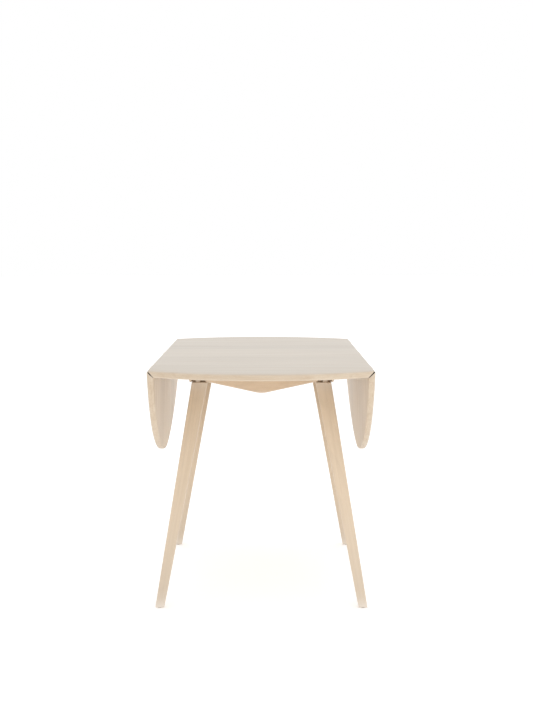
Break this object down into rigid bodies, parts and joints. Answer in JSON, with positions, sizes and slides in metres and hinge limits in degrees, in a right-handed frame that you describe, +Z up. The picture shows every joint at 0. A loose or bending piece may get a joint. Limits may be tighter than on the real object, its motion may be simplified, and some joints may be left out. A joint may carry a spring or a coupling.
{
  "type": "drop leaf table",
  "caption": "Drop leaf table with an oval top, two mitred leaves that hang at the sides, splayed tapered legs and V-shaped end aprons.",
  "frame": {"origin": "on the floor under the middle of the table", "axes": "+X across the table towards the right leaf, +Y along the leaf joints to the rear end, +Z up"},
  "size_m": [0.649, 1.13, 0.715],
  "materials": {
    "top_wood": "pale whitewashed hardwood, satin",
    "frame_wood": "pale whitewashed hardwood, satin",
    "hinge_brass": "satin brass",
    "steel": "zinc plated, satin",
    "glide_plastic": "matt"
  },
  "bodies": {
    "base": {"barrel_nut_1": "steel", "barrel_nut_2": "steel", "barrel_nut_3": "steel", "barrel_nut_4": "steel", "foot_glide_1": "glide_plastic", "foot_glide_2": "glide_plastic", "foot_glide_3": "glide_plastic", "foot_glide_4": "glide_plastic", "front_apron": "frame_wood", "hinge_left_1_pin": "steel", "hinge_left_1_top_plate": "hinge_brass", "hinge_left_2_pin": "steel", "hinge_left_2_top_plate": "hinge_brass", "hinge_left_3_pin": "steel", "hinge_left_3_top_plate": "hinge_brass", "hinge_right_1_pin": "steel", "hinge_right_1_top_plate": "hinge_brass", "hinge_right_2_pin": "steel", "hinge_right_2_top_plate": "hinge_brass", "hinge_right_3_pin": "steel", "hinge_right_3_top_plate": "hinge_brass", "leg_front_left": "frame_wood", "leg_front_right": "frame_wood", "leg_rear_left": "frame_wood", "leg_rear_right": "frame_wood", "rail_bolt_1": "steel", "rail_bolt_2": "steel", "rail_bolt_3": "steel", "rail_bolt_4": "steel", "rear_apron": "frame_wood", "side_rail_left": "frame_wood", "side_rail_right": "frame_wood", "stay_track_left": "steel", "stay_track_right": "steel", "table_top": "top_wood", "top_bracket_1": "steel", "top_bracket_2": "steel", "top_bracket_3": "steel", "top_bracket_4": "steel"},
    "leaf_left": {"bracket_rivet_left": "steel", "hinge_left_1_leaf_plate": "hinge_brass", "hinge_left_2_leaf_plate": "hinge_brass", "hinge_left_3_leaf_plate": "hinge_brass", "leaf_bracket_left": "steel", "leaf_left": "top_wood"},
    "leaf_right": {"bracket_rivet_right": "steel", "hinge_right_1_leaf_plate": "hinge_brass", "hinge_right_2_leaf_plate": "hinge_brass", "hinge_right_3_leaf_plate": "hinge_brass", "leaf_bracket_right": "steel", "leaf_right": "top_wood"},
    "slider_left": {"slider_pin_left": "steel", "stay_slider_left": "steel"},
    "slider_right": {"slider_pin_right": "steel", "stay_slider_right": "steel"},
    "arm_left": {"arm_rivet_left": "steel", "stay_arm_left": "steel"},
    "arm_right": {"arm_rivet_right": "steel", "stay_arm_right": "steel"}
  },
  "joints": [
    {"name": "leaf_left_hinge", "type": "hinge", "parent": "base", "child": "leaf_left", "pos_m": [-0.31242, 0, 0.71242], "axis": [0, 1, 0], "range_deg": [0, 88.2]},
    {"name": "slider_left_slide", "type": "slide", "parent": "base", "child": "slider_left", "axis": [-1, 0, 0], "range_m": [0, 0.0772]},
    {"name": "arm_left_pivot", "type": "hinge", "parent": "slider_left", "child": "arm_left", "pos_m": [-0.20758, 0, 0.682], "axis": [0, 1, 0], "range_deg": [0, 9.95]},
    {"name": "leaf_right_hinge", "type": "hinge", "parent": "base", "child": "leaf_right", "pos_m": [0.31242, 0, 0.71242], "axis": [0, -1, 0], "range_deg": [0, 88.2]},
    {"name": "slider_right_slide", "type": "slide", "parent": "base", "child": "slider_right", "axis": [1, 0, 0], "range_m": [0, 0.0772]},
    {"name": "arm_right_pivot", "type": "hinge", "parent": "slider_right", "child": "arm_right", "pos_m": [0.20758, 0, 0.682], "axis": [0, -1, 0], "range_deg": [0, 9.95]}
  ],
  "couplings": [
    {"joint": "slider_left_slide", "follows": "leaf_left_hinge", "m_per_rad": 0.050115},
    {"joint": "arm_left_pivot", "follows": "leaf_left_hinge", "ratio": 0.11267},
    {"joint": "slider_right_slide", "follows": "leaf_right_hinge", "m_per_rad": 0.050115},
    {"joint": "arm_right_pivot", "follows": "leaf_right_hinge", "ratio": 0.11267}
  ]
}
